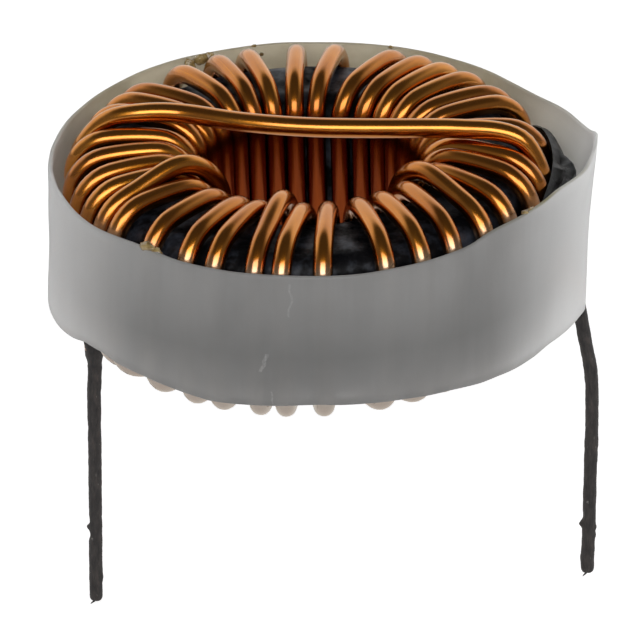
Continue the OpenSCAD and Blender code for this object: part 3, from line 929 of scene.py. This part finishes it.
# The floor's own glow as the camera sees it, and the share of it in a mirror
FLOOR_GLOW, FLOOR_MIRRORED = 0.6, 0.25
# Heights between which the world darkens overhead in a mirror, and depths between which it whitens behind
ZENITH, BACKDROP = (0.55, 0.82), (-0.1, 0.5)
# Its level overhead in a mirror, its share of white in front there, and its level for all other light
OVERHEAD, DIM, SOFT_LEVEL = 0.07, 0.12, 0.3
# The soft light in front, and the two at the sides, which mirrors don't show
KEY_EL, KEY_FAR, KEY_SIZE, KEY_WATTS = 34.0, 330.0, (320, 170), 0.6
SIDE_X, SIDE_Y, SIDE_Z, SIDE_SIZE = 300, 40, 80, (200, 200)
LEFT_WATTS, RIGHT_WATTS = 0.2, 0.42
# The camera of the photograph: its direction, its scale at the ring and the ring's place in the picture
CAMERA_AZ, CAMERA_EL, CAMERA_ROLL, CAMERA_FAR = -3.83, 28.65, -0.45, 290.0
PHOTO_PX, PX_PER_MM, CENTRE_PX = 640, 18.94, (309.5, 225.3)
SENSOR = 36


def towards(azimuth, elevation):
    """The direction from the part to a place in front of it, seen at an azimuth and an elevation."""
    return np.array([sin(azimuth) * cos(elevation), -cos(azimuth) * cos(elevation), sin(elevation)])


def make_floor():
    corners = ((-1, -1), (1, -1), (1, 1), (-1, 1))
    verts = [(FLOOR_HALF * x, FLOOR_HALF * y, FLOOR_Z) for x, y in corners]
    floor = new_object("floor", verts, [(0, 1, 2, 3)], smooth_shade=False)
    look = Look("floor_paper")
    look.set(Base_Color=(0.86, 0.86, 0.86), Roughness=0.9, Specular_IOR_Level=0.1)
    rays = look.add("LightPath").outputs
    seen = look.math("MAXIMUM", rays["Is Camera Ray"], rays["Is Transmission Ray"])
    seen = look.math("MAXIMUM", seen, look.times(rays["Is Glossy Ray"], FLOOR_MIRRORED))
    glow = look.add("Emission")
    look.put((1, 1, 1), glow.inputs["Color"])
    look.put(look.times(seen, FLOOR_GLOW), glow.inputs["Strength"])
    both = look.add("AddShader")
    look.put(look.surface.outputs[0], both.inputs[0])
    look.put(glow.outputs[0], both.inputs[1])
    look.put(both.outputs[0], look.output.inputs["Surface"])
    floor.data.materials.append(look.material)


def make_world():
    """White to the camera and through the film, in a mirror darker overhead and in front, else soft."""
    world = bpy.data.worlds.new("studio")
    bpy.context.scene.world = world
    world.use_nodes = True
    nodes = Nodes(world.node_tree)
    split = nodes.add("SeparateXYZ")
    nodes.put(nodes.add("TexCoord").outputs["Generated"], split.inputs[0])
    behind = nodes.spread(split.outputs["Y"], DIM, 1.0, *BACKDROP, "SMOOTHSTEP")
    low = nodes.spread(split.outputs["Z"], 1.0, 0.0, *ZENITH, "SMOOTHSTEP")
    mirror = nodes.pick(nodes.times(behind, low), OVERHEAD, 1.0)
    rays = nodes.add("LightPath").outputs
    level = nodes.pick(rays["Is Glossy Ray"], SOFT_LEVEL, mirror)
    level = nodes.pick(rays["Is Camera Ray"], level, 1.0)
    level = nodes.pick(rays["Is Transmission Ray"], level, 1.0)
    back = world.node_tree.nodes["Background"]
    nodes.put((1, 1, 1), back.inputs["Color"])
    nodes.put(level, back.inputs["Strength"])


def area_light(name, where, size, watts, mirrored=True):
    """A rectangular light that faces the ring."""
    data = bpy.data.lights.new(name, "AREA")
    data.shape = "RECTANGLE"
    data.size, data.size_y = size[0] * MM, size[1] * MM
    data.energy = watts
    obj = bpy.data.objects.new(name, data)
    obj.location = Vector(where) * MM
    obj.visible_glossy = mirrored
    obj.rotation_euler = (Vector(CENTRE) - Vector(where)).to_track_quat("-Z", "Y").to_euler()
    bpy.context.scene.collection.objects.link(obj)


def make_camera():
    right = np.array([cos(CAMERA_AZ), sin(CAMERA_AZ), 0])
    ahead = -towards(CAMERA_AZ, CAMERA_EL)
    up = np.cross(right, ahead)
    across = cos(CAMERA_ROLL) * right - sin(CAMERA_ROLL) * up
    upward = sin(CAMERA_ROLL) * right + cos(CAMERA_ROLL) * up
    off_x, off_y = ((PHOTO_PX / 2 - px) / PX_PER_MM for px in CENTRE_PX)
    where = CENTRE + off_x * across - off_y * upward - CAMERA_FAR * ahead
    data = bpy.data.cameras.new("photo_view")
    data.sensor_width = SENSOR
    data.lens = PX_PER_MM * CAMERA_FAR / PHOTO_PX * SENSOR
    data.clip_start = 0.01
    camera = bpy.data.objects.new("photo_view", data)
    bpy.context.scene.collection.objects.link(camera)
    matrix = Matrix.Identity(4)
    for i in range(3):
        matrix[i] = (across[i], upward[i], -ahead[i], where[i] * MM)
    camera.matrix_world = matrix
    bpy.context.scene.camera = camera


make_floor()
make_world()
area_light("front", CENTRE + KEY_FAR * towards(CAMERA_AZ, KEY_EL), KEY_SIZE, KEY_WATTS)
area_light("left_side", (-SIDE_X, SIDE_Y, SIDE_Z), SIDE_SIZE, LEFT_WATTS, mirrored=False)
area_light("right_side", (SIDE_X, SIDE_Y, SIDE_Z), SIDE_SIZE, RIGHT_WATTS, mirrored=False)
make_camera()
bpy.context.scene.view_settings.view_transform = "Standard"
